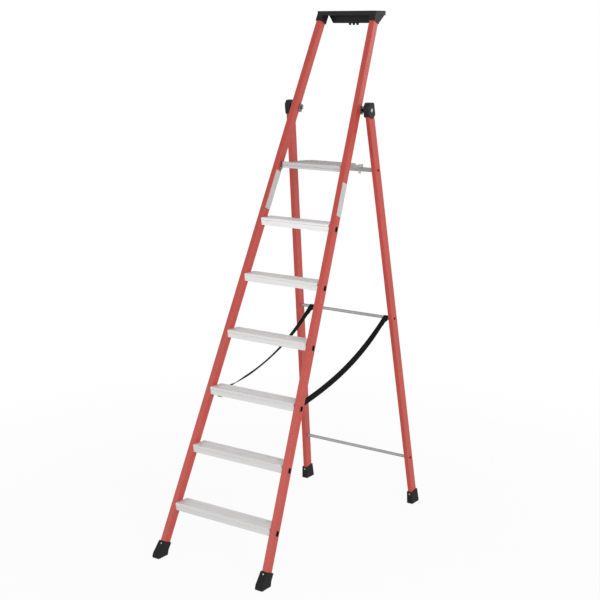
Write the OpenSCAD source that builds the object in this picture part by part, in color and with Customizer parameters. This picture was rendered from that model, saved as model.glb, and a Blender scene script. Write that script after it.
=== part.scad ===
// One-sided step ladder: six treads and a platform between two leaning front stiles,
// a folding rear frame on side hinges, a tool tray on top and two limiting straps.
// Millimetres. +Z is up, +X is to the climber's right, and the climber stands on the -Y side.

/* [Front frame] */
// Width over the front stiles where they meet the floor
front_foot_width = 588; // [540:1:640]
// Backward lean of the front frame, in degrees from upright
front_lean = 24.4; // [21:0.1:26]
// Inward slant of each front stile, in degrees
front_splay = 3.15; // [2.6:0.05:3.4]
// Width of a front stile
stile_width = 27; // [24:0.5:34]
// Depth of a front stile
stile_depth = 38; // [34:0.5:46]
// Wall of a front stile
stile_wall = 3; // [2:0.1:4]

/* [Treads] */
// Height of the lowest tread's top
first_tread = 228; // [200:1:260]
// Height from one tread to the next
tread_pitch = 240; // [220:1:250]
// Depth of a tread, front to back
tread_depth = 78; // [70:1:90]
// Height of a tread's front face
tread_height = 33; // [28:0.5:38]
// Wall of a tread
tread_wall = 2.2; // [1.6:0.1:3]
// Number of raised grip ribs on a tread
tread_ribs = 8; // [5:1:12]
// Length of the oval fixing in a stile's side
fixing_length = 21; // [16:0.5:26]
// Width of the oval fixing in a stile's side
fixing_width = 13; // [10:0.5:18]

/* [Hinge] */
// Height of the hinge pivots
hinge_height = 1903; // [1860:1:1960]
// Gap from a stile's rear face to the pivot's centre
pivot_gap = 5; // [4.5:0.5:8]
// Radius of a hinge bolt
bolt_radius = 4; // [3:0.5:4]
// Thickness of a hinge bracket
bracket_wall = 3; // [2:0.5:4]
// Height of a hinge bracket
bracket_height = 34; // [30:1:60]

/* [Rear frame] */
// How much wider the rear legs stand at the floor than the front stiles
rear_spread = 55; // [45:1:80]
// Forward lean of the rear legs, in degrees from upright
rear_lean = 8.7; // [6:0.1:11]
// Inward slant of each rear leg, in degrees
rear_splay = 2.95; // [2.6:0.05:3.2]
// Width of a rear leg
leg_width = 21; // [18:0.5:24]
// Depth of a rear leg
leg_depth = 45; // [40:0.5:52]
// Wall of a rear leg
leg_wall = 2.8; // [2:0.1:4]
// Diameter of the round cross rods
rod_diameter = 15; // [12:0.5:18]
// Height of the lower rod
lower_rod_height = 237; // [190:1:300]
// Height of the middle rod
middle_rod_height = 940; // [860:1:1000]
// Height of the flat bar's section
bar_height = 18; // [14:0.5:22]
// Thickness of the flat bar's section
bar_depth = 10; // [8:0.5:12]

/* [Platform] */
// Depth of the platform, from its nosing to the ends of its hooks
platform_depth = 197; // [185:1:205]
// Gap between the platform's side and a front stile at its pins
platform_gap = 10.6; // [8:0.1:14]
// Thickness of the platform's front
platform_height = 27; // [24:0.5:30]
// Step from the nosing down to the plate
plate_drop = 7; // [4:0.5:9]
// Number of grip ribs on the plate
plate_ribs = 14; // [7:1:20]

/* [Tool tray] */
// Height of the tray's top
tray_top = 2334; // [2300:1:2380]
// Depth of the tray, front to back
tray_depth = 95; // [88:1:110]
// Height of the tray's rim
tray_rim = 20; // [16:0.5:26]
// Depth of the tray's well below the top
tray_well = 54; // [46:1:58]
// Wall of the tray
tray_wall = 2.5; // [2:0.1:3.5]

/* [Boots] */
// Height of a front boot
front_boot_height = 74; // [60:1:90]
// Height of a rear boot
rear_boot_height = 60; // [50:1:80]
// Wall of a boot
boot_wall = 3.5; // [2.5:0.1:4]

/* [Straps] */
// Width of the strap webbing
strap_width = 25; // [18:1:30]
// Thickness of the strap webbing
strap_thickness = 1.6; // [1.2:0.1:2.4]
// Sag of a strap below the straight line
strap_sag = 65; // [10:1:80]

/* [Hidden] */
$fn = 48;

stile_red = [0.80, 0.24, 0.18];
bare_aluminium = [0.80, 0.81, 0.82];
zinc = [0.62, 0.63, 0.62];
black_plastic = [0.10, 0.10, 0.11];
webbing_black = [0.05, 0.05, 0.055];
label_white = [0.86, 0.87, 0.85];

// Clearances
fit_gap = 0.1;       // between pieces fixed to each other
running_gap = 0.05;  // around a shaft that turns
moving_gap = 0.5;    // between pieces that pass each other
far = 4000;          // longer than the whole ladder

// Front frame, in its own leaning plane: u runs up the slope and v runs back through the stile
front_toe = 16.5;
rear_heel = 52;
stile_corner = 3;    // outer corner radius of a stile
leg_corner = 3;      // outer corner radius of a leg
function front_u(height, v) = (height + v * sin(front_lean)) / cos(front_lean);
function stile_u(height, v) = front_u(height, v) / cos(front_splay);
function stile_outer_x(height, v) = front_foot_width / 2 - front_u(height, v) * tan(front_splay);
function stile_inner_x(height, v) = stile_outer_x(height, v) - stile_width / cos(front_splay);

// Hinge pivot, measured back from the front stiles' front line at the floor
pivot_v = stile_depth + pivot_gap * cos(front_lean);
pivot_back = hinge_height * tan(front_lean) + pivot_v / cos(front_lean);
pivot_inset = 18;    // from a rear leg's front face to the pivot
rear_back = pivot_back + hinge_height * tan(rear_lean) - pivot_inset / cos(rear_lean);

// The box around the whole ladder is centred on Y = 0
total_depth = front_toe + rear_back + rear_heel;
front_y = front_toe - total_depth / 2;
rear_y = front_y + rear_back;
pivot_y = front_y + pivot_back;
function front_line_y(height) = front_y + height * tan(front_lean);

// Rear frame
function rear_u(height, v) = (height - v * sin(rear_lean)) / cos(rear_lean);
function leg_u(height, v) = rear_u(height, v) / cos(rear_splay);
function leg_outer_x(height, v) = (front_foot_width + rear_spread) / 2 - rear_u(height, v) * tan(rear_splay);
function leg_inner_x(height, v) = leg_outer_x(height, v) - leg_width / cos(rear_splay);
function leg_middle_y(height) = rear_y - height * tan(rear_lean) + leg_depth / 2 / cos(rear_lean);

// Treads
tread_count = 6;
fixing_drop = 22.5;  // from a tread's top to its fixing's centre
tread_set_back = 2.4;
nosing_step = 2;
nosing_height = 11;
tread_box = 44;      // depth of the closed box under a tread
tread_lip = 10;
plate_thickness = tread_wall + 0.8;
rib_height = 1.4;
rib_share = 0.45;    // share of the pitch that a grip rib takes up
corner_cut = 12;
sleeve_wall = 1.4;
sleeve_lip = 2.5;
lip_thickness = 1.2;
plug_flange = 1.2;
plug_lip = 1.6;      // how far a plug's flange covers the sleeve's rim
function tread_top(i) = first_tread + (i - 1) * tread_pitch;
function fixing_height(i) = tread_top(i) - fixing_drop;
function tread_front_y(i) = front_line_y(fixing_height(i)) + tread_set_back;

// Platform
platform_top = first_tread + tread_count * tread_pitch;
platform_set_back = 12.4;
platform_front_y = front_line_y(platform_top) + platform_set_back;
platform_pin_y = platform_front_y + 9;
platform_pin_z = platform_top - 16;
pin_v = (platform_pin_y - front_line_y(platform_pin_z)) * cos(front_lean);
pin_radius = 3.5;
pin_reach = 9;       // how far a pin runs into the platform's side
ear_wall = 3;
ear_boss = 8;        // radius of the boss round a pin
side_gap = 1;        // between the platform and an ear's boss
platform_front_half = stile_inner_x(platform_pin_z, pin_v) - platform_gap;
platform_taper = 0.022;
function platform_half(y) = platform_front_half - (y - platform_pin_y) * platform_taper;
plate_top = platform_top - plate_drop;
plate_wall = 3;
plate_lip = 6;
platform_box = 36;   // depth of the closed box along the platform's front
side_flange = 14;
flange_wall = 2.5;
plate_cut_x = 41;
plate_cut_y = 57;
side_wall = 3;
side_drop = 35;      // from the platform's top to the deepest part of its side plates

// Rear flat bar under the platform's hooks
bar_z = plate_top - 16 - bar_height / 2;
bar_y = leg_middle_y(bar_z);
bar_cover = 5.6;     // least reach of the side plates' hooks past the flat bar
platform_rear_y = platform_front_y + platform_depth;
plate_end_y = platform_rear_y - 4;
hook_gap = 0.6;
hook_top = 1.5;      // from the plate's top down to the top of a side plate

// Rods and rivets
rivet_radius = 3;
rivet_head = 5.5;
head_height = 2;
rod_wall = 2;
rod_end = 30;        // length of the solid end of a rod

// Tray
tray_reach = 12;     // from the stiles' front line to the tray's front
tray_rear_y = front_line_y(tray_top) - tray_reach + tray_depth;
stile_top = tray_top - tray_rim - 2;
tray_half = stile_outer_x(tray_top - tray_rim, 0) + tray_wall;
tray_top_half = stile_outer_x(tray_top, 0) + 0.5;
collar_front = 42;   // from the tray's top down to a collar's front edge
well_top_half = tray_half - 31;
well_bottom_half = well_top_half - 22;
well_front = 42;     // from the stiles' front line back to the well's front
tray_pocket = 16;    // depth of the shallow pocket
hook_teeth = 3;
tooth_pitch = 20;
tooth_height = 9;

// Strap hangers stand behind the third tread's box
strap_tread = 3;
hanger_width = 24;
hanger_wall = 2.5;
slot_gap = 0.4;      // above and below the strap in its hanger
hanger_drop = 22;    // below the tread's box
strap_gap = 0.35;
loop_radius = rod_diameter / 2 + strap_gap;
loop_wall = 2 * strap_thickness;
strap_x = stile_inner_x(tread_top(strap_tread), 0) - 17;
strap_steps = 28;

// Boots
boot_floor = 6;
front_boot_width = 36;
rear_boot_width = 30;
front_heel = 47;
rear_toe = 10;
boot_rivet_drop = 11;
boot_rivet_head = 4;

// Labels
label_depth = 36;
label_thickness = 0.4;

module both_sides() {
    children();
    mirror([1, 0, 0]) children();
}

// Puts a piece drawn for the right side on the side asked for
module side_of(right) {
    if (right) children();
    else mirror([1, 0, 0]) children();
}

// Local frame of the right stile: x = 0 on its outer face, y back through it, z up along it
module on_stile() {
    translate([0, front_y, 0])
        rotate([-front_lean, 0, 0])
        translate([front_foot_width / 2, 0, 0])
        rotate([0, -front_splay, 0])
        children();
}

// Local frame of the right rear leg, laid out in the same way
module on_leg() {
    translate([0, rear_y, 0])
        rotate([rear_lean, 0, 0])
        translate([(front_foot_width + rear_spread) / 2, 0, 0])
        rotate([0, -rear_splay, 0])
        children();
}

// Turns a Z-axis shape onto the X axis
module along_x() {
    rotate([0, 90, 0]) children();
}

// Extrudes an outline drawn in Y and Z along X, from x1 to x2
module slab_x(x1, x2) {
    translate([x1, 0, 0]) rotate([90, 0, 90]) linear_extrude(x2 - x1) children();
}

// Extrudes an outline drawn in X and Z along Y, from y1 to y2
module slab_y(y1, y2) {
    translate([0, y2, 0]) rotate([90, 0, 0]) linear_extrude(y2 - y1) children();
}

module rounded_box(x, y, r) {
    translate([r, 0]) square([x - 2 * r, y]);
    translate([0, r]) square([x, y - 2 * r]);
    for (cx = [r, x - r], cy = [r, y - r]) translate([cx, cy]) circle(r);
}

module oval(length, width) {
    square([width, length - width], center = true);
    for (s = [-1, 1]) translate([0, s * (length - width) / 2]) circle(width / 2);
}

// Oval bar through the stile's side at a tread's fixing, from x1 to x2 in the stile's frame
module fixing_bar(i, x1, x2, grow) {
    translate([x1, stile_depth / 2, stile_u(fixing_height(i), stile_depth / 2)])
        rotate([90, 0, 90])
        linear_extrude(x2 - x1)
        oval(fixing_length + 2 * grow, fixing_width + 2 * grow);
}

// A low domed head that stands on z = 0
module head(r, h) {
    cylinder(h = h * 0.45, r = r);
    translate([0, 0, h * 0.45]) cylinder(h = h * 0.55, r1 = r, r2 = r * 0.6);
}

// ---------------------------------------------------------------- front stiles
module stile_section() {
    difference() {
        rounded_box(stile_width, stile_depth, stile_corner);
        translate([stile_wall, stile_wall])
            square([stile_width - 2 * stile_wall, stile_depth - 2 * stile_wall]);
    }
}

bracket_rivet_v = 31;
bracket_rivet_rise = 10;
module bracket_rivet_bars(x1, x2, r) {
    for (s = [-1, 1])
        translate([x1, bracket_rivet_v, stile_u(hinge_height, pivot_v) + s * bracket_rivet_rise])
            along_x() cylinder(h = x2 - x1, r = r);
}

ear_rivet_rise = 12;
module ear_rivet_bars(x1, x2, r) {
    for (s = [-1, 1])
        translate([x1, pin_v, stile_u(platform_pin_z, pin_v) + s * ear_rivet_rise])
            along_x() cylinder(h = x2 - x1, r = r);
}

// Rivet across the boot's front, in the stile's frame
module boot_rivet_bar(y1, y2, r) {
    translate([-stile_width / 2, y1, front_boot_height - boot_rivet_drop])
        rotate([-90, 0, 0]) cylinder(h = y2 - y1, r = r);
}

small_rivet = 2.2;
module front_stile() {
    color(stile_red)
    difference() {
        intersection() {
            on_stile() translate([-stile_width, 0, -100]) linear_extrude(far) stile_section();
            translate([0, -far / 2, boot_floor]) cube([far, far, stile_top - boot_floor]);
        }
        on_stile() for (i = [1 : tread_count])
            fixing_bar(i, -stile_width - 1, 1, fit_gap);
        on_stile() bracket_rivet_bars(-stile_width - 1, 1, small_rivet + fit_gap);
        on_stile() ear_rivet_bars(-stile_width - 1, -stile_width + stile_wall + 1, small_rivet + fit_gap);
        on_stile() boot_rivet_bar(-1, stile_wall + 1, small_rivet + fit_gap);
        tray_screw_bar(small_rivet + fit_gap);
    }
}

// ---------------------------------------------------------------- treads
// Corner points of a row of grip ribs that stand on the level called base
function rib_points(start, pitch, count, base) = [for (k = [0 : count - 1])
    each [[start + k * pitch, base], [start + k * pitch, base + rib_height],
        [start + (k + rib_share) * pitch, base + rib_height], [start + (k + rib_share) * pitch, base]]];

module tread_outline() {
    depth = tread_depth;
    difference() {
        polygon(concat([[nosing_step, -tread_height], [nosing_step, -nosing_height],
            [0, -nosing_height + nosing_step], [0, -1.5], [1.5, 0]],
            rib_points(4, (depth - 6) / tread_ribs, tread_ribs, 0),
            [[depth, 0], [depth, -tread_lip], [depth - tread_wall, -tread_lip],
            [depth - tread_wall, -plate_thickness], [tread_box, -plate_thickness],
            [tread_box, -tread_height]]));
        translate([nosing_step + tread_wall, -tread_height + tread_wall])
            square([tread_box - nosing_step - 2 * tread_wall,
                tread_height - tread_wall - plate_thickness]);
    }
}

// Space between the two front stiles' inner faces, from v1 to v2 behind the front plane
module between_stiles(gap) {
    foot = front_foot_width / 2 - stile_width / cos(front_splay) - gap;
    rise = 2600;
    half_top = foot - rise * tan(front_splay);
    translate([0, front_y, 0]) rotate([-front_lean, 0, 0])
        slab_y(-300, 300)
        polygon([[-foot, 0], [foot, 0], [half_top, rise], [-half_top, rise]]);
}

module tread(i) {
    top = tread_top(i);
    y = tread_front_y(i);
    half = stile_inner_x(top, 0);
    cut_y = tread_depth - corner_cut;
    color(bare_aluminium)
    intersection() {
        translate([0, y, top - rib_height]) slab_x(-half - 20, half + 20) tread_outline();
        between_stiles(0);
        translate([0, y, top - 100]) linear_extrude(200)
            polygon([[-half - 20, -5], [half + 20, -5], [half + 20, cut_y - 20],
                [half - corner_cut, tread_depth + 5], [corner_cut - half, tread_depth + 5],
                [-half - 20, cut_y - 20]]);
    }
}

// Oval sleeves swaged through the stile: they hold the treads
module tread_sleeves() {
    color(bare_aluminium)
    on_stile() for (i = [1 : tread_count])
        difference() {
            union() {
                fixing_bar(i, -stile_width, lip_thickness, 0);
                fixing_bar(i, 0, lip_thickness, sleeve_lip);
            }
            fixing_bar(i, -stile_width - 1, lip_thickness + 1, -sleeve_wall);
        }
}

module tread_plugs() {
    color(black_plastic)
    on_stile() for (i = [1 : tread_count]) {
        fixing_bar(i, -10, lip_thickness + plug_flange, -sleeve_wall - fit_gap);
        fixing_bar(i, lip_thickness, lip_thickness + plug_flange, plug_lip);
    }
}

// ---------------------------------------------------------------- boots
// Boot on the right: an outline seen from the front and one seen from the side
module front_boot() {
    rim = boot_wall;
    u_front = front_boot_height;
    foot_x = front_foot_width / 2;
    inner_x = foot_x + rim - front_boot_width;
    rim_x = stile_outer_x(front_boot_height, 0);
    front_rim = [u_front * sin(front_lean) - rim * cos(front_lean),
        u_front * cos(front_lean) + rim * sin(front_lean)];
    back = stile_depth + rim;
    rear_rim = [u_front * sin(front_lean) + back * cos(front_lean),
        u_front * cos(front_lean) - back * sin(front_lean)];
    color(black_plastic)
    difference() {
        intersection() {
            slab_y(-far / 2, far / 2)
                polygon([[inner_x, 0], [foot_x + rim, 0], [foot_x + rim, 9],
                    [rim_x + rim + 0.4, front_rim[1] + 10],
                    [rim_x - stile_width - rim, front_rim[1] + 10], [inner_x, 9]]);
            translate([0, front_y, 0]) slab_x(0, far)
                polygon([[-front_toe + 2, 0], [front_heel - 2, 0], [front_heel, 6],
                    [front_heel + 4, 22], rear_rim, front_rim, [-front_toe + 5, 22],
                    [-front_toe, 8]]);
        }
        intersection() {
            on_stile() translate([-stile_width - fit_gap, -fit_gap, -100])
                cube([stile_width + 2 * fit_gap, stile_depth + 2 * fit_gap, 400]);
            translate([0, -far / 2, boot_floor]) cube([far, far, 400]);
        }
        on_stile() boot_rivet_bar(-20, 20, small_rivet + fit_gap);
        on_stile() boot_rivet_bar(-30, -boot_wall, boot_rivet_head + fit_gap);
        for (k = [-1 : 2])
            translate([inner_x - 5, front_y + k * 13, -1]) cube([front_boot_width + 10, 4, 3]);
    }
}

module front_boot_rivet() {
    color(zinc)
    on_stile() {
        boot_rivet_bar(-boot_wall, stile_wall, small_rivet);
        translate([-stile_width / 2, -boot_wall, front_boot_height - boot_rivet_drop])
            rotate([90, 0, 0]) head(boot_rivet_head, 1.8);
    }
}

module rear_boot_rivet_bar(y1, y2, r) {
    translate([-leg_width / 2, y1, rear_boot_height - boot_rivet_drop])
        rotate([-90, 0, 0]) cylinder(h = y2 - y1, r = r);
}

module rear_boot() {
    rim = boot_wall - 0.5;
    foot_x = (front_foot_width + rear_spread) / 2;
    inner_x = foot_x + boot_wall - rear_boot_width;
    rim_x = leg_outer_x(rear_boot_height, 0);
    u = rear_boot_height;
    front_rim = [-u * sin(rear_lean) - rim * cos(rear_lean),
        u * cos(rear_lean) - rim * sin(rear_lean)];
    back = leg_depth + rim;
    rear_rim = [-u * sin(rear_lean) + back * cos(rear_lean),
        u * cos(rear_lean) + back * sin(rear_lean)];
    color(black_plastic)
    difference() {
        intersection() {
            slab_y(-far / 2, far / 2)
                polygon([[inner_x, 0], [foot_x + boot_wall, 0], [foot_x + boot_wall, 8],
                    [rim_x + rim + 0.6, 80], [rim_x - leg_width - rim - 0.4, 80], [inner_x, 8]]);
            translate([0, rear_y, 0]) slab_x(0, far)
                polygon([[-rear_toe + 1, 0], [rear_heel - 1, 0], [rear_heel, 7], rear_rim,
                    front_rim, [-rear_toe, 7]]);
        }
        intersection() {
            on_leg() translate([-leg_width - fit_gap, -fit_gap, -100])
                cube([leg_width + 2 * fit_gap, leg_depth + 2 * fit_gap, 400]);
            translate([0, -far / 2, boot_floor]) cube([far, far, 400]);
        }
        on_leg() rear_boot_rivet_bar(-20, 20, small_rivet + fit_gap);
        on_leg() rear_boot_rivet_bar(-30, -boot_wall + 0.5, boot_rivet_head + fit_gap);
        for (k = [0 : 3])
            translate([inner_x - 5, rear_y - 3 + k * 13, -1]) cube([rear_boot_width + 10, 4, 3]);
    }
}

module rear_boot_rivet() {
    color(zinc)
    on_leg() {
        rear_boot_rivet_bar(-boot_wall + 0.5, leg_wall, small_rivet);
        translate([-leg_width / 2, -boot_wall + 0.5, rear_boot_height - boot_rivet_drop])
            rotate([90, 0, 0]) head(4, 1.8);
    }
}

// ---------------------------------------------------------------- hinge
// Bar along the hinge axis, from x1 to x2
module hinge_axis_bar(x1, x2, r) {
    translate([x1, pivot_y, hinge_height]) along_x() cylinder(h = x2 - x1, r = r);
}

bracket_start_v = 26;
bracket_reach = 2 * pivot_gap + 3;
cap_wall = 3.5;
cap_inner_x = leg_inner_x(hinge_height, pivot_inset) - cap_wall;
cap_outer_x = leg_outer_x(hinge_height, pivot_inset) + cap_wall;
bracket_outer_x = stile_outer_x(hinge_height, pivot_v) + bracket_wall;
bracket_inner_x = stile_inner_x(hinge_height, pivot_v) - bracket_wall;

module hinge_bracket() {
    depth = stile_depth + bracket_reach - bracket_start_v;
    low = stile_u(hinge_height, pivot_v) - bracket_height / 2;
    color(zinc)
    difference() {
        on_stile() translate([-stile_width - bracket_wall, bracket_start_v, low])
            cube([stile_width + 2 * bracket_wall, depth, bracket_height]);
        on_stile() translate([-stile_width, bracket_start_v - 1, low - 1])
            cube([stile_width, depth + 1 - bracket_wall, bracket_height + 2]);
        on_stile() bracket_rivet_bars(-stile_width - 10, 10, small_rivet + fit_gap);
        hinge_axis_bar(0, far, bolt_radius + fit_gap);
    }
}

module bracket_rivet_pair() {
    color(zinc)
    on_stile() {
        bracket_rivet_bars(-stile_width - bracket_wall, bracket_wall, small_rivet);
        for (s = [-1, 1]) {
            rise = stile_u(hinge_height, pivot_v) + s * bracket_rivet_rise;
            translate([bracket_wall, bracket_rivet_v, rise]) along_x() head(4, 1.8);
            translate([-stile_width - bracket_wall, bracket_rivet_v, rise])
                rotate([0, -90, 0]) head(4, 1.8);
        }
    }
}

washer_thickness = 1.2;
bush_radius = 8;      // at the bracket
bush_flare = 13;      // how much wider the bush is at the hinge cap
nut_height = 4.5;
bolt_end = 1.5;
module hinge_bolt() {
    color(zinc) {
        hinge_axis_bar(bracket_inner_x - 1 - washer_thickness - nut_height - bolt_end,
            cap_outer_x + 1.5, bolt_radius);
        translate([cap_outer_x + 1, pivot_y, hinge_height]) along_x() head(8, 3.4);
    }
}

module hinge_nut() {
    face = bracket_inner_x - 0.6;
    color(zinc)
    difference() {
        union() {
            hinge_axis_bar(face - washer_thickness, face, 8.5);
            translate([face - washer_thickness - nut_height, pivot_y, hinge_height])
                along_x() cylinder(h = nut_height, r = 7.5, $fn = 6);
        }
        hinge_axis_bar(0, far, bolt_radius + fit_gap);
    }
}

// Flared bush between the bracket and the hinge cap
module hinge_spacer() {
    start = bracket_outer_x + 0.6;
    length = cap_inner_x - moving_gap - start;
    color(black_plastic)
    difference() {
        translate([start, pivot_y, hinge_height]) along_x() union() {
            cylinder(h = length, r = bush_radius);
            translate([0, 0, 2.5])
                cylinder(h = length - 2.5, r1 = bush_radius, r2 = bush_radius + bush_flare);
        }
        hinge_axis_bar(0, far, bolt_radius + fit_gap);
    }
}

// Cap outline about the pivot, seen from the side
cap_outline = [[-17, -28], [-21.5, 0], [-23, 16], [-12, 31], [-4, 34], [17, 34], [24, 29], [34, -17], [32, -24],
    [6, -38]];
leg_top = hinge_height + 15;
module hinge_cap() {
    color(black_plastic)
    difference() {
        translate([0, pivot_y, hinge_height]) slab_x(cap_inner_x, cap_outer_x)
            polygon(cap_outline);
        intersection() {
            on_leg() translate([-leg_width - fit_gap, -fit_gap, 0])
                cube([leg_width + 2 * fit_gap, leg_depth + 2 * fit_gap, far]);
            cube([far, far, leg_top + fit_gap]);
        }
        hinge_axis_bar(0, far, bolt_radius + running_gap);
    }
}

// ---------------------------------------------------------------- rear frame
module leg_section() {
    difference() {
        rounded_box(leg_width, leg_depth, leg_corner);
        translate([leg_wall, leg_wall])
            square([leg_width - 2 * leg_wall, leg_depth - 2 * leg_wall]);
    }
}

// Bar along X at one of the cross rods, through the right leg
module rod_axis_bar(height, x1, x2, r) {
    translate([x1, leg_middle_y(height), height]) along_x() cylinder(h = x2 - x1, r = r);
}

module rear_leg() {
    color(stile_red)
    difference() {
        intersection() {
            on_leg() translate([-leg_width, 0, -100]) linear_extrude(far) leg_section();
            translate([0, -far / 2, boot_floor]) cube([far, far, leg_top - boot_floor]);
        }
        for (height = [lower_rod_height, middle_rod_height, bar_z])
            rod_axis_bar(height, 0, far, rivet_radius + fit_gap);
        hinge_axis_bar(0, far, bolt_radius + running_gap);
        on_leg() rear_boot_rivet_bar(-1, leg_wall + 1, small_rivet + fit_gap);
    }
}

function rod_half(height, r) = leg_inner_x(height + r, leg_depth / 2) - fit_gap;

module cross_rod(height) {
    half = rod_half(height, rod_diameter / 2);
    color(bare_aluminium)
    difference() {
        rod_axis_bar(height, -half, half, rod_diameter / 2);
        rod_axis_bar(height, -half + rod_end, half - rod_end, rod_diameter / 2 - rod_wall);
        for (x = [-half - 1, half - rod_end - 1])
            rod_axis_bar(height, x, x + rod_end + 2, rivet_radius + fit_gap);
    }
}

module upper_bar() {
    half = rod_half(bar_z, bar_height / 2);
    inset = 2;
    color(bare_aluminium)
    difference() {
        translate([0, bar_y, bar_z]) rotate([rear_lean, 0, 0])
            cube([2 * half, bar_depth, bar_height], center = true);
        translate([0, bar_y, bar_z]) rotate([rear_lean, 0, 0])
            cube([2 * (half - rod_end), bar_depth - 2 * inset, bar_height - 2 * inset],
                center = true);
        for (x = [-half - 1, half - rod_end - 1])
            rod_axis_bar(bar_z, x, x + rod_end + 2, rivet_radius + fit_gap);
    }
}

module rod_rivet(height) {
    face = leg_outer_x(height, leg_depth / 2);
    color(zinc) {
        rod_axis_bar(height, leg_inner_x(height, leg_depth / 2) - 15, face + 1, rivet_radius);
        translate([face + 0.4, leg_middle_y(height), height]) along_x()
            head(rivet_head, head_height);
    }
}

// ---------------------------------------------------------------- platform
// The plate is a ribbed profile; its plan narrows to the rear and its rear corners are cut
module platform_profile() {
    end = plate_end_y - platform_front_y;
    under = -plate_drop - plate_wall;
    difference() {
        polygon(concat([[0, -2], [2, 0], [12, 0], [14, -plate_drop]],
            rib_points(17, (end - 20) / plate_ribs, plate_ribs, -plate_drop),
            [[end, -plate_drop], [end, under - plate_lip], [end - plate_wall, under - plate_lip],
            [end - plate_wall, under], [platform_box, under], [platform_box, -platform_height],
            [0, -platform_height], [0, -platform_height + 9], [1.5, -platform_height + 10],
            [1.5, -platform_height + 12.5], [0, -platform_height + 13.5]]));
        translate([3.5, -platform_height + plate_wall])
            square([platform_box - 3.5 - plate_wall, platform_height - plate_drop - 2 * plate_wall]);
    }
}

module platform_plan(inset) {
    front_half = platform_half(platform_front_y) - inset;
    cut_start = platform_rear_y - plate_cut_y;
    polygon([[-front_half, platform_front_y - 1], [front_half, platform_front_y - 1],
        [platform_half(cut_start) - inset, cut_start],
        [platform_half(plate_end_y) - plate_cut_x, plate_end_y + 1],
        [plate_cut_x - platform_half(plate_end_y), plate_end_y + 1],
        [inset - platform_half(cut_start), cut_start]]);
}

module pin_bar(x1, x2, r) {
    translate([x1, platform_pin_y, platform_pin_z]) along_x() cylinder(h = x2 - x1, r = r);
}

// The side plate's own frame: x = 0 on its outer face, turned with the platform's taper
module on_platform_side() {
    translate([platform_front_half, platform_pin_y, 0]) rotate([0, 0, atan(platform_taper)])
        children();
}

module platform_rivet_bars(z1, z2, r) {
    on_platform_side() for (y = [35, 75, 115])
        translate([-side_wall - side_flange / 2, y, z1]) cylinder(h = z2 - z1, r = r);
}

module platform_plate() {
    color(bare_aluminium)
    difference() {
        intersection() {
            translate([0, platform_front_y, platform_top])
                slab_x(-platform_front_half - 50, platform_front_half + 50) platform_profile();
            translate([0, 0, platform_top - 60]) linear_extrude(120) platform_plan(side_wall);
        }
        both_sides() platform_rivet_bars(plate_top - 20, plate_top + 5, small_rivet + fit_gap);
    }
}

// Side plate of the platform, with the hook that sits on the flat bar
module platform_side() {
    top = plate_top - hook_top;
    hook_front = bar_y - bar_depth / 2 / cos(rear_lean) - 4 * hook_gap;
    hook_roof = bar_z + bar_height / 2 + hook_gap + 0.6;
    hook_back = max(platform_rear_y, bar_y + bar_depth / 2 + bar_cover);
    color(bare_aluminium)
    difference() {
        on_platform_side() {
            translate([-side_wall - side_flange, 28.5, plate_top - plate_wall - flange_wall])
                cube([side_flange + 0.5, 94.5, flange_wall]);
            translate([0, -platform_pin_y, 0]) slab_x(-side_wall, 0)
                polygon([[platform_front_y + 1, platform_top - platform_height],
                [platform_front_y + 120, platform_top - platform_height],
                [hook_front - 22, platform_top - side_drop],
                [hook_front - 10, platform_top - side_drop],
                [hook_front, hook_roof],
                [bar_y + bar_depth / 2 + 3.5, hook_roof],
                [bar_y + bar_depth / 2 + 5, hook_roof - 6],
                [hook_back, hook_roof - 6], [hook_back, top - 3], [hook_back - 3, top],
                [platform_front_y + 14, top], [platform_front_y + 12, platform_top],
                [platform_front_y + 2, platform_top], [platform_front_y + 1, platform_top - 1]]);
        }
        pin_bar(0, far, pin_radius + running_gap);
        platform_rivet_bars(plate_top - 20, plate_top, small_rivet + fit_gap);
    }
}

module platform_rivet_pair() {
    under = plate_top - plate_wall - flange_wall;
    color(zinc) {
        platform_rivet_bars(under - 1.2, plate_top, small_rivet);
        platform_rivet_bars(under - 1.2, under, small_rivet * 1.8);
    }
}

// Ear on the stile's inner face that carries the platform's pin
module platform_ear() {
    rise = stile_u(platform_pin_z, pin_v);
    color(zinc)
    difference() {
        union() {
            on_stile() translate([-stile_width - ear_wall, pin_v - 10, rise - 17])
                cube([ear_wall, 20, 34]);
            pin_bar(platform_front_half + side_gap,
                stile_inner_x(platform_pin_z, pin_v) - 0.8, ear_boss);
        }
        on_stile() ear_rivet_bars(-stile_width - 10, 0, small_rivet + fit_gap);
        pin_bar(0, far, pin_radius + fit_gap);
    }
}

module platform_ear_rivet_pair() {
    color(zinc)
    on_stile() {
        ear_rivet_bars(-stile_width - ear_wall, -stile_width + stile_wall, small_rivet);
    }
}

module platform_pin() {
    color(zinc)
        pin_bar(platform_front_half - pin_reach, stile_inner_x(platform_pin_z, pin_v) - 0.6,
            pin_radius);
}

// Catch plate welded to the flat bar's front, beside each hook
module platform_catch() {
    half = platform_half(bar_y);
    color(zinc)
    translate([0, bar_y, bar_z]) rotate([rear_lean, 0, 0])
        translate([half - 16, -bar_depth / 2 - 2, -bar_height / 2 - 10])
        cube([12, 2, bar_height + 6]);
}

// ---------------------------------------------------------------- tray
module tray_screw_bar(r) {
    on_stile() translate([-stile_width / 2, -20, stile_u(tray_top - 31, 0)])
        rotate([-90, 0, 0]) cylinder(h = 20 + stile_wall, r = r);
}

module tray_screw() {
    color(zinc) {
        on_stile() translate([-stile_width / 2, -tray_wall, stile_u(tray_top - 31, 0)])
            rotate([90, 0, 0]) head(4, 1.6);
        on_stile() translate([-stile_width / 2, -tray_wall, stile_u(tray_top - 31, 0)])
            rotate([-90, 0, 0]) cylinder(h = tray_wall + stile_wall, r = small_rivet);
    }
}

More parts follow.
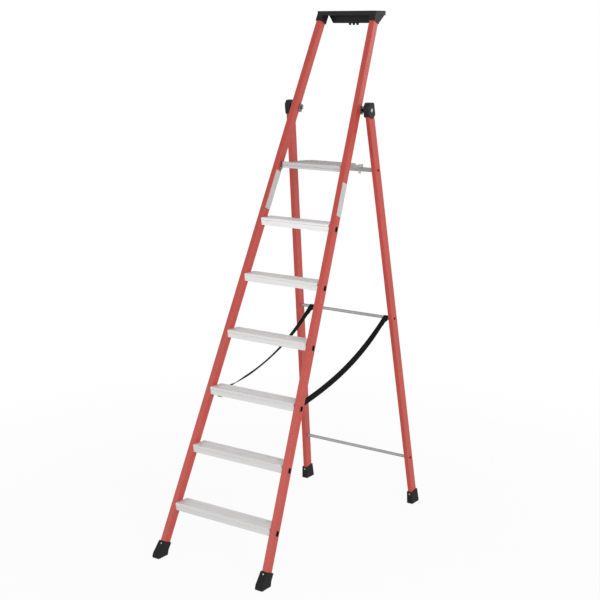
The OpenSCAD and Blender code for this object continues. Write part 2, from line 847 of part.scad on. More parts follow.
// Outlines in Y and Z, with Y from the front line at the tray's top
module tray_side_outline(low) {
    front = -tray_reach;
    back = tray_depth + front;
    polygon([[front + 1, 0], [back - 1, 0], [back, -1], [back, -low + 1], [back - 1, -low],
        [front + 1, -low], [front, -low + 1], [front, -1]]);
}

module tray_collar() {
    rim = tray_wall;
    low_u = stile_u(tray_top - collar_front, 0);
    intersection() {
        union() {
            on_stile() translate([-stile_width - rim, -rim, low_u])
                cube([stile_width + 2 * rim, stile_depth + 2 * rim, 100]);
            // gusset under the rear overhang
            translate([tray_half - 6, 0, tray_top]) slab_x(0, 4)
                translate([front_line_y(tray_top), 0])
                polygon([[20, -tray_rim + 1], [20, -46], [30, -50], [tray_depth - 24, -tray_rim + 1]]);
        }
        translate([0, -far / 2, tray_top - 100]) cube([far, far, 100 - 1]);
    }
}

// Front view of the well: its sides slope in towards its floor
module well_outline(inset, top) {
    floor_z = tray_top - tray_well + inset;
    polygon([[inset - well_top_half, top], [inset - well_bottom_half, floor_z],
        [well_bottom_half - inset, floor_z], [well_top_half - inset, top]]);
}

module tray_body() {
    y0 = front_line_y(tray_top);
    intersection() {
        translate([0, y0, tray_top]) slab_x(-tray_half, tray_half) tray_side_outline(tray_rim);
        slab_y(y0 - 50, y0 + 150)
            polygon([[-tray_half, tray_top - tray_rim], [tray_half, tray_top - tray_rim],
                [tray_top_half, tray_top], [-tray_top_half, tray_top]]);
        translate([-tray_half, y0 - tray_reach, tray_top - 50]) linear_extrude(60)
            rounded_box(2 * tray_half, tray_depth, 8);
    }
    both_sides() tray_collar();
    slab_y(y0 + well_front, tray_rear_y - 5) well_outline(0, tray_top - tray_rim + 1);
    // teeth for hanging tools, under the middle of the well
    for (k = [-(hook_teeth - 1) / 2 : (hook_teeth - 1) / 2])
        translate([k * tooth_pitch + 4, 0, tray_top - tray_well])
            slab_y(y0 + well_front + 6, y0 + well_front + 12)
            polygon([[-7, 1], [7, 1], [3, -tooth_height], [-3, -tooth_height]]);
}

module tool_tray() {
    y0 = front_line_y(tray_top);
    inset = tray_wall + 2;
    color(black_plastic)
    difference() {
        tray_body();
        // shallow pocket over the whole tray
        translate([-tray_half + inset + 3, y0 - tray_reach + inset, tray_top - tray_pocket])
            linear_extrude(60)
            rounded_box(2 * (tray_half - inset - 3), tray_depth - 2 * inset, 6);
        // deep pocket in the well
        slab_y(y0 + well_front + tray_wall, tray_rear_y - 5 - tray_wall)
            well_outline(tray_wall, tray_top - tray_pocket + 1);
        // seats for the stile tops and their screws
        both_sides() intersection() {
            on_stile() translate([-stile_width - fit_gap, -fit_gap, 0])
                cube([stile_width + 2 * fit_gap, stile_depth + 2 * fit_gap, far]);
            translate([0, -far / 2, 0]) cube([far, far, stile_top + fit_gap]);
        }
        both_sides() tray_screw_bar(small_rivet + fit_gap);
    }
}

// ---------------------------------------------------------------- straps
hanger_y = tread_front_y(strap_tread) + tread_box + fit_gap;
hanger_top = tread_top(strap_tread) - rib_height - plate_thickness;
hanger_low = tread_top(strap_tread) - tread_height - hanger_drop;
hanger_x = strap_x + strap_thickness / 2;
strap_start = [leg_middle_y(middle_rod_height), middle_rod_height - 4];
strap_end = [hanger_y + 0.5, tread_top(strap_tread) - tread_lip - 21.5];

module strap_hanger() {
    color(zinc)
    difference() {
        union() {
            translate([hanger_x - hanger_width / 2, hanger_y, hanger_low])
                cube([hanger_width, hanger_wall, hanger_top - hanger_low]);
            translate([hanger_x - hanger_width / 2, hanger_y, hanger_top - hanger_wall])
                cube([hanger_width, 18, hanger_wall]);
        }
        for (s = [-1, 1]) hanger_rivet_bar(s, small_rivet + fit_gap);
        translate([hanger_x - 4, hanger_y - 1, strap_end[1] - strap_width / 2 - slot_gap])
            cube([8, hanger_wall + 2, strap_width + 2 * slot_gap]);
    }
}

module hanger_rivet_bar(s, r) {
    translate([hanger_x + s * 7, hanger_y + 12, hanger_top - hanger_wall])
        cylinder(h = hanger_wall, r = r);
}

module hanger_rivet_pair() {
    color(zinc)
    for (s = [-1, 1]) {
        hanger_rivet_bar(s, small_rivet);
        translate([hanger_x + s * 7, hanger_y + 12, hanger_top - hanger_wall])
            mirror([0, 0, 1]) head(4, 1.5);
    }
}

// The strap's middle line is a shallow parabola in the plane of Y and Z
function strap_point(t) = strap_start + (strap_end - strap_start) * t
    - [0, 4 * strap_sag * t * (1 - t)];
function strap_slope(t) = (strap_end - strap_start) - [0, 4 * strap_sag * (1 - 2 * t)];
function strap_edge(t, side) = strap_point(t)
    + side * strap_width / 2 * [-strap_slope(t)[1], strap_slope(t)[0]] / norm(strap_slope(t));

module strap() {
    start = 0.03;
    band = [for (k = [0 : strap_steps]) start + (1 - start) * k / strap_steps];
    color(webbing_black)
    difference() {
        union() {
            slab_x(strap_x, strap_x + strap_thickness)
                polygon(concat([for (t = band) strap_edge(t, 1)],
                    [for (k = [strap_steps : -1 : 0]) strap_edge(band[k], -1)]));
            rod_axis_bar(middle_rod_height, strap_x - 2, strap_x - 2 + strap_width,
                loop_radius + loop_wall);
        }
        rod_axis_bar(middle_rod_height, strap_x - 60, strap_x + 60, loop_radius);
    }
}

// ---------------------------------------------------------------- labels
module label(x1, height, length) {
    color(label_white)
    on_stile()
        translate([x1, (stile_depth - label_depth) / 2,
            stile_u(height, stile_depth / 2) - length / 2])
        cube([label_thickness, label_depth, length]);
}

// ---------------------------------------------------------------- named pieces
module front_stile_left() side_of(false) front_stile();
module front_stile_right() side_of(true) front_stile();
module tread_1() tread(1);
module tread_2() tread(2);
module tread_3() tread(3);
module tread_4() tread(4);
module tread_5() tread(5);
module tread_6() tread(6);
module tread_sleeves_left() side_of(false) tread_sleeves();
module tread_sleeves_right() side_of(true) tread_sleeves();
module tread_plugs_left() side_of(false) tread_plugs();
module tread_plugs_right() side_of(true) tread_plugs();
module front_boot_left() side_of(false) front_boot();
module front_boot_right() side_of(true) front_boot();
module front_boot_rivets() both_sides() front_boot_rivet();
module hinge_bracket_left() side_of(false) hinge_bracket();
module hinge_bracket_right() side_of(true) hinge_bracket();
module bracket_rivets() both_sides() bracket_rivet_pair();
module hinge_bolt_left() side_of(false) hinge_bolt();
module hinge_bolt_right() side_of(true) hinge_bolt();
module hinge_nuts() both_sides() hinge_nut();
module hinge_spacers() both_sides() hinge_spacer();
module platform_ears() both_sides() platform_ear();
module platform_ear_rivets() both_sides() platform_ear_rivet_pair();
module platform_pins() both_sides() platform_pin();
module strap_hangers() both_sides() strap_hanger();
module hanger_rivets() both_sides() hanger_rivet_pair();
module tray_screws() both_sides() tray_screw();
module label_left() side_of(false) label(-stile_width - label_thickness, 1546, 182);
module label_right() side_of(true) label(0, 1528, 152);
module strap_left() side_of(false) strap();
module strap_right() side_of(true) strap();
module rear_leg_left() side_of(false) rear_leg();
module rear_leg_right() side_of(true) rear_leg();
module hinge_cap_left() side_of(false) hinge_cap();
module hinge_cap_right() side_of(true) hinge_cap();
module middle_rod() cross_rod(middle_rod_height);
module lower_rod() cross_rod(lower_rod_height);
module rod_rivets() both_sides()
    for (height = [lower_rod_height, middle_rod_height, bar_z]) rod_rivet(height);
module platform_catches() both_sides() platform_catch();
module rear_boot_left() side_of(false) rear_boot();
module rear_boot_right() side_of(true) rear_boot();
module rear_boot_rivets() both_sides() rear_boot_rivet();
module platform_side_left() side_of(false) platform_side();
module platform_side_right() side_of(true) platform_side();
module platform_rivets() both_sides() platform_rivet_pair();

front_stile_left();
front_stile_right();
tread_1();
tread_2();
tread_3();
tread_4();
tread_5();
tread_6();
tread_sleeves_left();
tread_sleeves_right();
tread_plugs_left();
tread_plugs_right();
front_boot_left();
front_boot_right();
front_boot_rivets();
hinge_bracket_left();
hinge_bracket_right();
bracket_rivets();
hinge_bolt_left();
hinge_bolt_right();
hinge_nuts();
hinge_spacers();
platform_ears();
platform_ear_rivets();
platform_pins();
strap_hangers();
hanger_rivets();
tool_tray();
tray_screws();
label_left();
label_right();
strap_left();
strap_right();
rear_leg_left();
rear_leg_right();
hinge_cap_left();
hinge_cap_right();
upper_bar();
middle_rod();
lower_rod();
rod_rivets();
platform_catches();
rear_boot_left();
rear_boot_right();
rear_boot_rivets();
platform_plate();
platform_side_left();
platform_side_right();
platform_rivets();
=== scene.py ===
import math
import bmesh
import bpy
import numpy as np
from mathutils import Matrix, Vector


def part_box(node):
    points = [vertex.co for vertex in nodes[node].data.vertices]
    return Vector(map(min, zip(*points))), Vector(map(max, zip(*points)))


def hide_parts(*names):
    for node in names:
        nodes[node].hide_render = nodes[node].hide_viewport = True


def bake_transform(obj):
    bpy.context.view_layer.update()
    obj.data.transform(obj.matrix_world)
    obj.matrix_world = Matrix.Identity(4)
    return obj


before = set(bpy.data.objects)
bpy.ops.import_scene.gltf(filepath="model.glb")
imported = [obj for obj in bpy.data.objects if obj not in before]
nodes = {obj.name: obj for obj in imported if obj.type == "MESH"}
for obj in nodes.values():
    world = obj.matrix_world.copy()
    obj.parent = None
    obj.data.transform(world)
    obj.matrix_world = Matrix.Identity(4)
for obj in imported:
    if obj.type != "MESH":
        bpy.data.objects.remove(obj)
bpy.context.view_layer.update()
print("frame loaded:", len(nodes), "nodes")


def corners(name):
    # lowest and highest corner of a node's box
    low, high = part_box(name)
    return np.array(low), np.array(high)


def facing(direction):
    # rotation that points a camera or lamp along the direction
    return Vector(direction).to_track_quat("-Z", "Y").to_euler()


# camera: stands in front and to the right, a little above the platform
camera = {"place": (3.1096, -4.3971, 2.2579), "towards": (-0.5575, 0.8019, -0.2144),
          "lens": 74.334, "sensor": 36.0, "clipEnd": 60}


def buildCamera():
    data = bpy.data.cameras.new("camera")
    data.lens, data.sensor_width = camera["lens"], camera["sensor"]
    data.clip_end = camera["clipEnd"]
    eye = bpy.data.objects.new("camera", data)
    bpy.context.scene.collection.objects.link(eye)
    eye.location = camera["place"]
    eye.rotation_euler = facing(camera["towards"])
    bpy.context.scene.camera = eye


buildCamera()
print("camera placed")


def mathNode(tree, operation, first, second):
    # first and second are each a socket or a number
    made = tree.nodes.new("ShaderNodeMath")
    made.operation = operation
    for index, value in enumerate((first, second)):
        if hasattr(value, "is_linked"):
            tree.links.new(value, made.inputs[index])
        else:
            made.inputs[index].default_value = value
    return made.outputs[0]


def spread(tree, value, low, high, fromLow=0.0, fromHigh=1.0, interpolation="LINEAR"):
    # maps fromLow..fromHigh to low..high
    made = tree.nodes.new("ShaderNodeMapRange")
    made.interpolation_type = interpolation
    tree.links.new(value, made.inputs["Value"])
    for label, number in (("From Min", fromLow), ("From Max", fromHigh), ("To Min", low), ("To Max", high)):
        made.inputs[label].default_value = number
    return made.outputs[0]


# studio: white floor and surroundings, a large key lamp, a fill and a rim
studio = {"floorHalf": 60.0, "floorPaint": 0.80, "floorGlow": (0.93, 1.0), "glowFrom": 0.9, "glowTo": 3.2,
          "worldTint": (0.97, 0.985, 1.0), "worldLight": 0.44, "lampsAim": (0, 0, 1.1),
          "key": {"place": (5.4, -3.0, 2.6), "size": 3.0, "watts": 205},
          "fill": {"place": (-2.6, -5.2, 2.2), "size": 3.0, "watts": 70},
          "rim": {"place": (0.8, 3.8, 3.2), "size": 2.6, "watts": 45}}


def seenDirectly(tree):
    # 1 for camera, glossy and transmission rays, 0 for the rest
    rays = tree.nodes.new("ShaderNodeLightPath")
    seen = mathNode(tree, "MAXIMUM", rays.outputs["Is Camera Ray"], rays.outputs["Is Glossy Ray"])
    return mathNode(tree, "MAXIMUM", seen, rays.outputs["Is Transmission Ray"])


def blendShaders(tree, share, plain, white, out):
    # plain where share is 0, white where it is 1
    mix = tree.nodes.new("ShaderNodeMixShader")
    for index, socket in enumerate((share, plain.outputs[0], white.outputs[0])):
        tree.links.new(socket, mix.inputs[index])
    tree.links.new(mix.outputs[0], out.inputs[0])


def buildWorld():
    world = bpy.data.worlds.new("studio")
    bpy.context.scene.world = world
    world.use_nodes = True
    tree = world.node_tree
    tree.nodes.clear()
    lit = tree.nodes.new("ShaderNodeBackground")
    lit.inputs["Color"].default_value = (*studio["worldTint"], 1)
    lit.inputs["Strength"].default_value = studio["worldLight"]
    seen = tree.nodes.new("ShaderNodeBackground")
    seen.inputs["Color"].default_value = (1, 1, 1, 1)
    seen.inputs["Strength"].default_value = 1.0
    blendShaders(tree, seenDirectly(tree), lit, seen, tree.nodes.new("ShaderNodeOutputWorld"))


def buildFloor():
    half = studio["floorHalf"]
    mesh = bpy.data.meshes.new("floor")
    mesh.from_pydata([(-half, -half, 0), (half, -half, 0), (half, half, 0), (-half, half, 0)],
                     [], [(0, 1, 2, 3)])
    floor = bpy.data.objects.new("floor", mesh)
    bpy.context.scene.collection.objects.link(floor)
    paint = bpy.data.materials.new("studioFloor")
    paint.use_nodes = True
    tree = paint.node_tree
    tree.nodes.clear()
    matt = tree.nodes.new("ShaderNodeBsdfDiffuse")
    level = studio["floorPaint"]
    matt.inputs["Color"].default_value = (level, level, level, 1)
    glow = tree.nodes.new("ShaderNodeEmission")
    glow.inputs["Color"].default_value = (1, 1, 1, 1)
    glow.inputs["Strength"].default_value = 1.0
    # the floor turns pure white away from the ladder, so that no edge shows
    place = tree.nodes.new("ShaderNodeTexCoord")
    away = tree.nodes.new("ShaderNodeVectorMath")
    away.operation = "LENGTH"
    tree.links.new(place.outputs["Object"], away.inputs[0])
    fade = spread(tree, away.outputs["Value"], *studio["floorGlow"], studio["glowFrom"], studio["glowTo"],
                  "SMOOTHSTEP")
    share = mathNode(tree, "MULTIPLY", seenDirectly(tree), fade)
    blendShaders(tree, share, matt, glow, tree.nodes.new("ShaderNodeOutputMaterial"))
    floor.data.materials.append(paint)


def buildLamp(name, settings):
    data = bpy.data.lights.new(name, "AREA")
    data.size, data.energy = settings["size"], settings["watts"]
    lamp = bpy.data.objects.new(name, data)
    bpy.context.scene.collection.objects.link(lamp)
    lamp.location = settings["place"]
    lamp.rotation_euler = facing(Vector(studio["lampsAim"]) - Vector(settings["place"]))


buildWorld()
buildFloor()
for lampName in ("key", "fill", "rim"):
    buildLamp(lampName, studio[lampName])
bpy.context.scene.view_settings.view_transform = "Standard"
print("studio built")


# effects that the finishes share: each puts out only values that change over the surface
effects = {"grainDetail": 3.0, "patchDetail": 5.0,
           "lineDetail": 4.0, "streakScale": 0.12, "streakDetail": 2.0,
           "wearDetail": 6.0, "wearRoughness": 0.7, "wearCut": (0.62, 0.72),
           "ribWidth": 1.6, "ribSlant": 1.1, "ribShade": 0.6}


def newGroup(name, inputs, outputs):
    # inputs are label, kind of socket and first value; outputs are labels of numbers
    tree = bpy.data.node_groups.new(name, "ShaderNodeTree")
    for label, kind, value in inputs:
        tree.interface.new_socket(label, in_out="INPUT", socket_type=kind).default_value = value
    for label in outputs:
        tree.interface.new_socket(label, in_out="OUTPUT", socket_type="NodeSocketFloat")
    return tree, tree.nodes.new("NodeGroupInput"), tree.nodes.new("NodeGroupOutput")


def noise(tree, vector, scale, detail):
    # scale is a socket or a number
    made = tree.nodes.new("ShaderNodeTexNoise")
    made.inputs["Detail"].default_value = detail
    tree.links.new(vector, made.inputs["Vector"])
    if hasattr(scale, "is_linked"):
        tree.links.new(scale, made.inputs["Scale"])
    else:
        made.inputs["Scale"].default_value = scale
    return made


def buildGrain():
    # moulded or sprayed skin: fine height, and slow patches for colour and roughness
    tree, start, end = newGroup("fineGrain", [("Scale", "NodeSocketFloat", 900.0),
                                              ("Patch Scale", "NodeSocketFloat", 9.0)], ["Height", "Patch"])
    place = tree.nodes.new("ShaderNodeTexCoord").outputs["Object"]
    fine = noise(tree, place, start.outputs["Scale"], effects["grainDetail"])
    slow = noise(tree, place, start.outputs["Patch Scale"], effects["patchDetail"])
    tree.links.new(fine.outputs["Fac"], end.inputs["Height"])
    tree.links.new(slow.outputs["Fac"], end.inputs["Patch"])
    return tree


def buildDrawnLines():
    # die lines of an extrusion: noise stretched along one axis
    tree, start, end = newGroup("drawnLines", [("Stretch", "NodeSocketVector", (20.0, 900.0, 900.0))],
                                ["Lines", "Streak"])
    squeeze = tree.nodes.new("ShaderNodeVectorMath")
    squeeze.operation = "MULTIPLY"
    tree.links.new(tree.nodes.new("ShaderNodeTexCoord").outputs["Object"], squeeze.inputs[0])
    tree.links.new(start.outputs["Stretch"], squeeze.inputs[1])
    lines = noise(tree, squeeze.outputs[0], 1.0, effects["lineDetail"])
    streak = noise(tree, squeeze.outputs[0], effects["streakScale"], effects["streakDetail"])
    tree.links.new(lines.outputs["Fac"], end.inputs["Lines"])
    tree.links.new(streak.outputs["Fac"], end.inputs["Streak"])
    return tree


def buildScuffs():
    # sparse rubbed spots, 0 where clean and 1 where worn
    tree, start, end = newGroup("scuffs", [("Scale", "NodeSocketFloat", 60.0),
                                           ("Amount", "NodeSocketFloat", 0.3)], ["Mask"])
    place = tree.nodes.new("ShaderNodeTexCoord").outputs["Object"]
    worn = noise(tree, place, start.outputs["Scale"], effects["wearDetail"])
    worn.inputs["Roughness"].default_value = effects["wearRoughness"]
    cut = spread(tree, worn.outputs["Fac"], 0.0, 1.0, *effects["wearCut"])
    tree.links.new(mathNode(tree, "MULTIPLY", cut, start.outputs["Amount"]), end.inputs["Mask"])
    return tree


def buildWeave():
    # herringbone webbing, on the strap's own UV in metres: the slant of the yarns changes sign
    # from one rib to the next
    tree, start, end = newGroup("webbingWeave", [("Yarn", "NodeSocketFloat", 900.0)], ["Height", "Edge"])
    place = tree.nodes.new("ShaderNodeUVMap")
    place.uv_map = "strapMap"
    split = tree.nodes.new("ShaderNodeSeparateXYZ")
    tree.links.new(place.outputs[0], split.inputs[0])
    across, along = (mathNode(tree, "MULTIPLY", split.outputs[axis], start.outputs["Yarn"]) for axis in "XY")
    ribs = mathNode(tree, "PINGPONG", across, effects["ribWidth"])
    slant = mathNode(tree, "ADD", along, mathNode(tree, "MULTIPLY", ribs, effects["ribSlant"]))
    wave = mathNode(tree, "SINE", mathNode(tree, "MULTIPLY", slant, math.pi), 0.0)
    yarn = mathNode(tree, "MULTIPLY", mathNode(tree, "ADD", wave, 1.0), 0.5)
    tree.links.new(yarn, end.inputs["Height"])
    tree.links.new(mathNode(tree, "MULTIPLY", ribs, effects["ribShade"]), end.inputs["Edge"])
    return tree


grainGroup = buildGrain()
linesGroup = buildDrawnLines()
scuffGroup = buildScuffs()
weaveGroup = buildWeave()
print("shared effects built")


def useGroup(tree, group, **values):
    made = tree.nodes.new("ShaderNodeGroup")
    made.node_tree = group
    for label, value in values.items():
        made.inputs[label.replace("_", " ")].default_value = value
    return made


def tint(tree, factor, dark, light):
    # dark where the factor is 0, light where it is 1; each is a socket or a colour
    made = tree.nodes.new("ShaderNodeMix")
    made.data_type = "RGBA"
    tree.links.new(factor, made.inputs["Factor"])
    for label, value in (("A", dark), ("B", light)):
        socket = [s for s in made.inputs if s.name == label and s.type == "RGBA"][0]
        if hasattr(value, "is_linked"):
            tree.links.new(value, socket)
        else:
            socket.default_value = (*value, 1)
    return [s for s in made.outputs if s.type == "RGBA"][0]


def shaded(colour, shade):
    # below 1 is darker
    return tuple(c * shade for c in colour)


def mottle(tree, factor, look, shade=1.0):
    # from the look's dark to its light, both times the shade
    return tint(tree, factor, shaded(look["dark"], shade), shaded(look["light"], shade))


def blankMaterial(name, metallic=0.0):
    made = bpy.data.materials.new(name)
    made.use_nodes = True
    tree = made.node_tree
    shader = tree.nodes["Principled BSDF"]
    shader.inputs["Metallic"].default_value = metallic
    return made, tree, shader


def dress(tree, shader, look, colour, rough, height, roughness=None):
    # colour, roughness spread over the look's range, and a bump from the height
    tree.links.new(colour, shader.inputs["Base Color"])
    tree.links.new(spread(tree, rough, *(roughness or look["roughness"])), shader.inputs["Roughness"])
    made = tree.nodes.new("ShaderNodeBump")
    made.inputs["Strength"].default_value = look["bump"]
    made.inputs["Distance"].default_value = look["bumpDepth"]
    tree.links.new(height, made.inputs["Height"])
    tree.links.new(made.outputs[0], shader.inputs["Normal"])


# satin coating on the tubes: sprayed skin, slight shade patches, light rubbing
coat = {"dark": (0.44, 0.048, 0.034), "light": (0.58, 0.072, 0.050), "rubbed": (0.62, 0.15, 0.11),
        "roughness": (0.34, 0.46), "specular": 0.36, "lacquer": 0.15, "lacquerRoughness": 0.3,
        "skin": 1400.0, "patches": 5.0, "wearScale": 42.0, "wear": 0.22, "bump": 0.12, "bumpDepth": 0.0004}


def buildCoat(name):
    made, tree, shader = blankMaterial(name)
    shader.inputs["Specular IOR Level"].default_value = coat["specular"]
    shader.inputs["Coat Weight"].default_value = coat["lacquer"]
    shader.inputs["Coat Roughness"].default_value = coat["lacquerRoughness"]
    grain = useGroup(tree, grainGroup, Scale=coat["skin"], Patch_Scale=coat["patches"])
    worn = useGroup(tree, scuffGroup, Scale=coat["wearScale"], Amount=coat["wear"])
    plain = mottle(tree, grain.outputs["Patch"], coat)
    dress(tree, shader, coat, tint(tree, worn.outputs["Mask"], plain, coat["rubbed"]),
          grain.outputs["Patch"], grain.outputs["Height"])
    return made


# drawn aluminium: die lines along X, soft streaks, darker worn spots
metal = {"dark": (0.575, 0.568, 0.566), "light": (0.75, 0.744, 0.74), "wornShade": 0.8, "metallic": 0.55,
         "roughness": (0.34, 0.50), "wearScale": 55.0, "wear": 0.35, "bump": 0.18, "bumpDepth": 0.0003}


def buildDrawnMetal(name, stretch, shade):
    made, tree, shader = blankMaterial(name, metal["metallic"])
    lines = useGroup(tree, linesGroup, Stretch=stretch)
    worn = useGroup(tree, scuffGroup, Scale=metal["wearScale"], Amount=metal["wear"])
    plain = mottle(tree, lines.outputs["Streak"], metal, shade)
    rubbed = shaded(metal["dark"], metal["wornShade"])
    dress(tree, shader, metal, tint(tree, worn.outputs["Mask"], plain, rubbed),
          lines.outputs["Lines"], lines.outputs["Lines"])
    return made


# zinc plating: mottled, a little blue
zinc = {"dark": (0.36, 0.37, 0.39), "light": (0.60, 0.61, 0.62), "metallic": 0.85,
        "roughness": (0.28, 0.44), "grain": 700.0, "patches": 120.0, "bump": 0.15, "bumpDepth": 0.0003}


def buildZinc(name, shade):
    made, tree, shader = blankMaterial(name, zinc["metallic"])
    grain = useGroup(tree, grainGroup, Scale=zinc["grain"], Patch_Scale=zinc["patches"])
    dress(tree, shader, zinc, mottle(tree, grain.outputs["Patch"], zinc, shade),
          grain.outputs["Patch"], grain.outputs["Height"])
    return made


# black mouldings: spark-eroded texture, greyed where rubbed
moulding = {"dark": (0.0075, 0.007, 0.0075), "light": (0.014, 0.013, 0.0135),
            "rubbed": (0.045, 0.043, 0.042), "roughnessSpread": 0.06, "patches": 14.0,
            "wearScale": 70.0, "wear": 0.4, "bump": 0.35, "bumpDepth": 0.0004}


def buildMoulding(name, roughness, shade, texture, specular):
    made, tree, shader = blankMaterial(name)
    shader.inputs["Specular IOR Level"].default_value = specular
    grain = useGroup(tree, grainGroup, Scale=texture, Patch_Scale=moulding["patches"])
    worn = useGroup(tree, scuffGroup, Scale=moulding["wearScale"], Amount=moulding["wear"])
    plain = mottle(tree, grain.outputs["Patch"], moulding, shade)
    dress(tree, shader, moulding, tint(tree, worn.outputs["Mask"], plain, moulding["rubbed"]),
          grain.outputs["Patch"], grain.outputs["Height"],
          (roughness - moulding["roughnessSpread"], roughness + moulding["roughnessSpread"]))
    return made


# blank film on the stiles
film = {"dark": (0.50, 0.485, 0.48), "light": (0.62, 0.605, 0.60), "roughness": (0.28, 0.42),
        "grain": 500.0, "patches": 30.0, "bump": 0.05, "bumpDepth": 0.0003}


def buildLabelFilm(name):
    made, tree, shader = blankMaterial(name)
    grain = useGroup(tree, grainGroup, Scale=film["grain"], Patch_Scale=film["patches"])
    dress(tree, shader, film, mottle(tree, grain.outputs["Patch"], film),
          grain.outputs["Patch"], grain.outputs["Height"])
    return made


# black polyester webbing
webbing = {"dark": (0.003, 0.003, 0.0035), "light": (0.010, 0.009, 0.0105), "yarn": 760.0,
           "roughness": (0.62, 0.8), "specular": 0.06, "sheen": 0.02, "sheenRoughness": 0.5,
           "bump": 0.6, "bumpDepth": 0.0008}


def buildWebbing(name):
    made, tree, shader = blankMaterial(name)
    shader.inputs["Specular IOR Level"].default_value = webbing["specular"]
    shader.inputs["Sheen Weight"].default_value = webbing["sheen"]
    shader.inputs["Sheen Roughness"].default_value = webbing["sheenRoughness"]
    weave = useGroup(tree, weaveGroup, Yarn=webbing["yarn"])
    dress(tree, shader, webbing, mottle(tree, weave.outputs["Height"], webbing),
          weave.outputs["Edge"], weave.outputs["Height"])
    return made


finishes = {
    "redTube": buildCoat("redTube"),
    "treadMetal": buildDrawnMetal("treadMetal", stretch=(14.0, 900.0, 900.0), shade=1.04),
    # platform plate: the drawn metal at 0.66 of its colour, partly its own darker tone and partly painted
    # shade that keeps its front dim under the key lamp
    "plateMetalPaintedShade": buildDrawnMetal("plateMetalPaintedShade", stretch=(12.0, 700.0, 700.0), shade=0.66),
    "rodMetal": buildDrawnMetal("rodMetal", stretch=(20.0, 700.0, 700.0), shade=0.54),
    "zincPlate": buildZinc("zincPlate", shade=1.0),
    # zinc at 0.42 of its colour, on the hinge brackets, nuts, bracket rivets and platform ears
    "darkerZinc": buildZinc("darkerZinc", shade=0.42),
    "trayPlastic": buildMoulding("trayPlastic", roughness=0.55, shade=1.1, texture=1100.0, specular=0.18),
    "capPlastic": buildMoulding("capPlastic", roughness=0.50, shade=1.0, texture=1200.0, specular=0.20),
    "plugPlastic": buildMoulding("plugPlastic", roughness=0.72, shade=0.3, texture=1200.0, specular=0.03),
    "bootRubber": buildMoulding("bootRubber", roughness=0.68, shade=0.85, texture=800.0, specular=0.20),
    "labelFilm": buildLabelFilm("labelFilm"),
    "strapWebbing": buildWebbing("strapWebbing"),
}

# how the names begin that take each finish; the first that fits counts
finishStarts = {
    "redTube": ("front_stile", "rear_leg"),
    "rodMetal": ("tread_sleeves", "middle_rod", "lower_rod", "upper_bar"),
    "plugPlastic": ("tread_plugs", "rod_rivets"),
    "capPlastic": ("hinge_cap", "hinge_spacers", "tray_screws"),
    "treadMetal": ("tread_",),
    "plateMetalPaintedShade": ("platform_plate", "platform_side"),
    "trayPlastic": ("tool_tray",),
    "bootRubber": ("front_boot_left", "front_boot_right", "rear_boot_left", "rear_boot_right"),
    "darkerZinc": ("hinge_bracket", "hinge_nuts", "bracket_rivets", "platform_ears"),
    "labelFilm": ("label",),
    "strapWebbing": ("strap_left", "strap_right"),
}


def finishFor(name):
    # zinc plate where no list fits: bolts, rivets, pins, catches and hangers
    return next((finish for finish, starts in finishStarts.items() if name.startswith(starts)), "zincPlate")


for nodeName, piece in nodes.items():
    piece.data.materials.clear()
    piece.data.materials.append(finishes[finishFor(nodeName)])
print("materials built")


# straps: webbing looped round the middle rod, turning a quarter on its way to the tread.
# leaves and wrap are degrees round the rod, endIn is Y and Z from the hangers' lowest corner,
# turns are pairs of place along the strap and share of the quarter turn
strap = {"width": 0.025, "thickness": 0.0018, "edge": 0.0005, "facePoints": 9,
         "loopGap": 0.0006, "leaves": 128, "wrap": 262, "loopPoints": 60,
         "endIn": (0.0006, 0.0235), "lean": 0.5, "evenOut": 0.03, "bandPoints": 150,
         "stitch": 0.055, "layerGap": 0.0004, "closeFrom": 0.12, "closeOver": 0.55, "tailPoints": 24,
         "left": {"rodX": -0.189, "endX": -0.208, "sag": 0.062,
                  "turns": ((0.0, 0.0), (0.2, 0.10), (0.41, 0.28), (0.56, 0.27), (0.64, 0.23),
                            (0.71, 0.17), (0.78, 0.24), (0.84, 0.32), (0.89, 0.64), (0.94, 0.90),
                            (1.0, 1.0))},
         "right": {"rodX": 0.229, "endX": 0.208, "sag": 0.052,
                   "turns": ((0.0, 0.0), (0.15, 0.2), (0.35, 0.5), (0.6, 0.62), (0.8, 0.70),
                             (0.92, 0.77), (1.0, 1.0))}}


def smooth(t):
    # 3t squared less 2t cubed: from 0 to 1, level at both ends
    t = np.clip(t, 0, 1)
    return t * t * (3 - 2 * t)


def smoothTurn(t, stops):
    # share of the quarter turn at t: straight between the stops, averaged over evenOut either way
    at, share = np.array(stops).T
    nearby = np.linspace(-strap["evenOut"], strap["evenOut"], 15)
    return np.interp(np.clip(t[:, None] + nearby, 0, 1), at, share).mean(1)


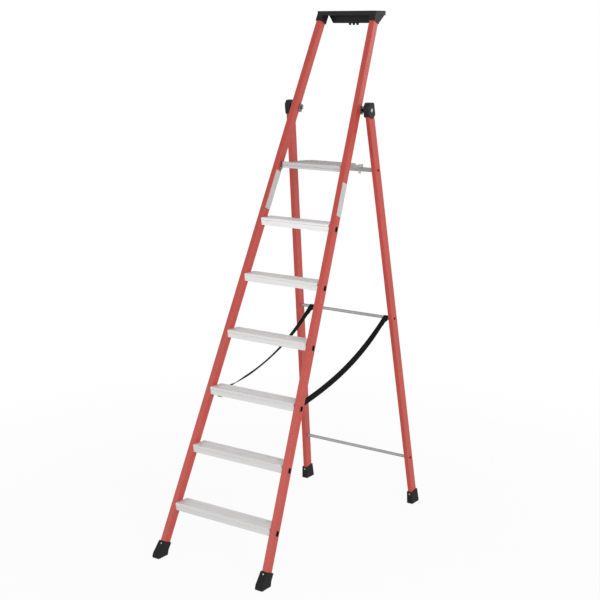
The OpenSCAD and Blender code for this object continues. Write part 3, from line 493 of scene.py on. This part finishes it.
def strapCourse(own):
    # middle line: the stitched tail, a loop round the rod, then the band down to the tread. The band
    # is a straight line less 4t(1 - t) of the sag, lowest a little nearer the rod. Also the share of
    # the quarter turn at each point
    rodLow, rodHigh = corners("middle_rod")
    radius = (rodHigh[2] - rodLow[2]) / 2 + strap["loopGap"] + strap["thickness"] / 2
    angle = np.radians(np.linspace(strap["leaves"] - strap["wrap"], strap["leaves"], strap["loopPoints"]))
    loop = (rodLow + rodHigh)[1:] / 2 + radius * np.stack([np.cos(angle), np.sin(angle)], 1)
    t = np.linspace(0, 1, strap["bandPoints"])
    end = corners("strap_hangers")[0][1:] + strap["endIn"]
    band = loop[-1] + (end - loop[-1]) * t[:, None]
    band[:, 1] -= own["sag"] * 4 * t * (1 - t) * (1 + strap["lean"] * (0.5 - t))
    # tail: close under the band at its end, reaching back to the rod where the loop begins
    down = band[6] - band[0]
    down /= np.linalg.norm(down)
    under = np.array([-down[1], down[0]]) * (strap["thickness"] + strap["layerGap"])
    back = np.linspace(1, 0, strap["tailPoints"])[:, None]
    away = np.linalg.norm(band - band[0], axis=1)
    beside = np.concatenate([np.interp(strap["stitch"] * back, away, column) for column in
                             (band[:, 0], band[:, 1])], 1)
    close = smooth((back - strap["closeFrom"]) / strap["closeOver"])
    tail = close * (beside + under) + (1 - close) * (loop[0] + down * strap["stitch"] * back)
    course = np.concatenate([tail[:-1], loop[:-1], band])
    before = np.zeros(len(course) - len(t))
    x = own["rodX"] + (own["endX"] - own["rodX"]) * np.concatenate([before, t])
    return np.column_stack([x, course]), np.concatenate([before, smoothTurn(t, own["turns"])])


def buildStrap(name, side, own):
    # closed band: a rounded oblong section carried along the course; its long side turns from X
    # at the rod to the upright plane at the tread
    path, turned = strapCourse(own)
    tangent = np.gradient(path, axis=0)
    tangent /= np.linalg.norm(tangent, axis=1)[:, None]
    sideways = np.array([1.0, 0, 0]) - tangent * tangent[:, :1]
    sideways /= np.linalg.norm(sideways, axis=1)[:, None]
    angle = (turned * math.pi / 2 * -side)[:, None]
    wide = sideways * np.cos(angle) + np.cross(tangent, sideways) * np.sin(angle)
    thin = np.cross(tangent, wide)
    # section: points across each face, edges rounded by one point each
    half, thick = strap["width"] / 2, np.full(strap["facePoints"], strap["thickness"] / 2)
    face = np.linspace(-1, 1, strap["facePoints"]) * (half - strap["edge"])
    sectionW = np.concatenate([face, [half], face[::-1], [-half]])
    sectionT = np.concatenate([thick, [0], -thick, [0]])
    points = path[:, None] + wide[:, None] * sectionW[:, None] + thin[:, None] * sectionT[:, None]
    rows, ring = len(path), len(sectionW)
    i, j = np.meshgrid(np.arange(rows - 1), np.arange(ring), indexing="ij")
    k = (j + 1) % ring
    quads = np.stack([i * ring + j, i * ring + k, (i + 1) * ring + k, (i + 1) * ring + j], -1)
    ends = [list(range(ring))[::-1], [(rows - 1) * ring + n for n in range(ring)]]
    mesh = bpy.data.meshes.new(name)
    mesh.from_pydata(points.reshape(-1, 3).tolist(), [], quads.reshape(-1, 4).tolist() + ends)
    # UV in metres: across the band, and along it
    travelled = np.concatenate([[0], np.cumsum(np.linalg.norm(np.diff(path, axis=0), axis=1))])
    uvAll = np.stack(np.broadcast_arrays(sectionW[None, :], travelled[:, None]), -1).reshape(-1, 2)
    layer = mesh.uv_layers.new(name="strapMap")
    loops = np.zeros(len(mesh.loops), np.int32)
    mesh.loops.foreach_get("vertex_index", loops)
    layer.data.foreach_set("uv", uvAll[loops].astype(np.float32).ravel())
    mesh.shade_smooth()
    made = bmesh.new()
    made.from_mesh(mesh)
    bmesh.ops.recalc_face_normals(made, faces=made.faces)
    made.to_mesh(mesh)
    made.free()
    band = bpy.data.objects.new(name, mesh)
    bpy.context.scene.collection.objects.link(band)
    mesh.materials.append(finishes["strapWebbing"])
    return band, float(travelled[-1]), path


for sideName, sign in (("left", -1), ("right", 1)):
    band, bandLength, bandPath = buildStrap("strapWebbing_" + sideName, sign, strap[sideName])
    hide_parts("strap_" + sideName)
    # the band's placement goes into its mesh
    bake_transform(band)
    print("strap", sideName, "length", round(bandLength, 3))
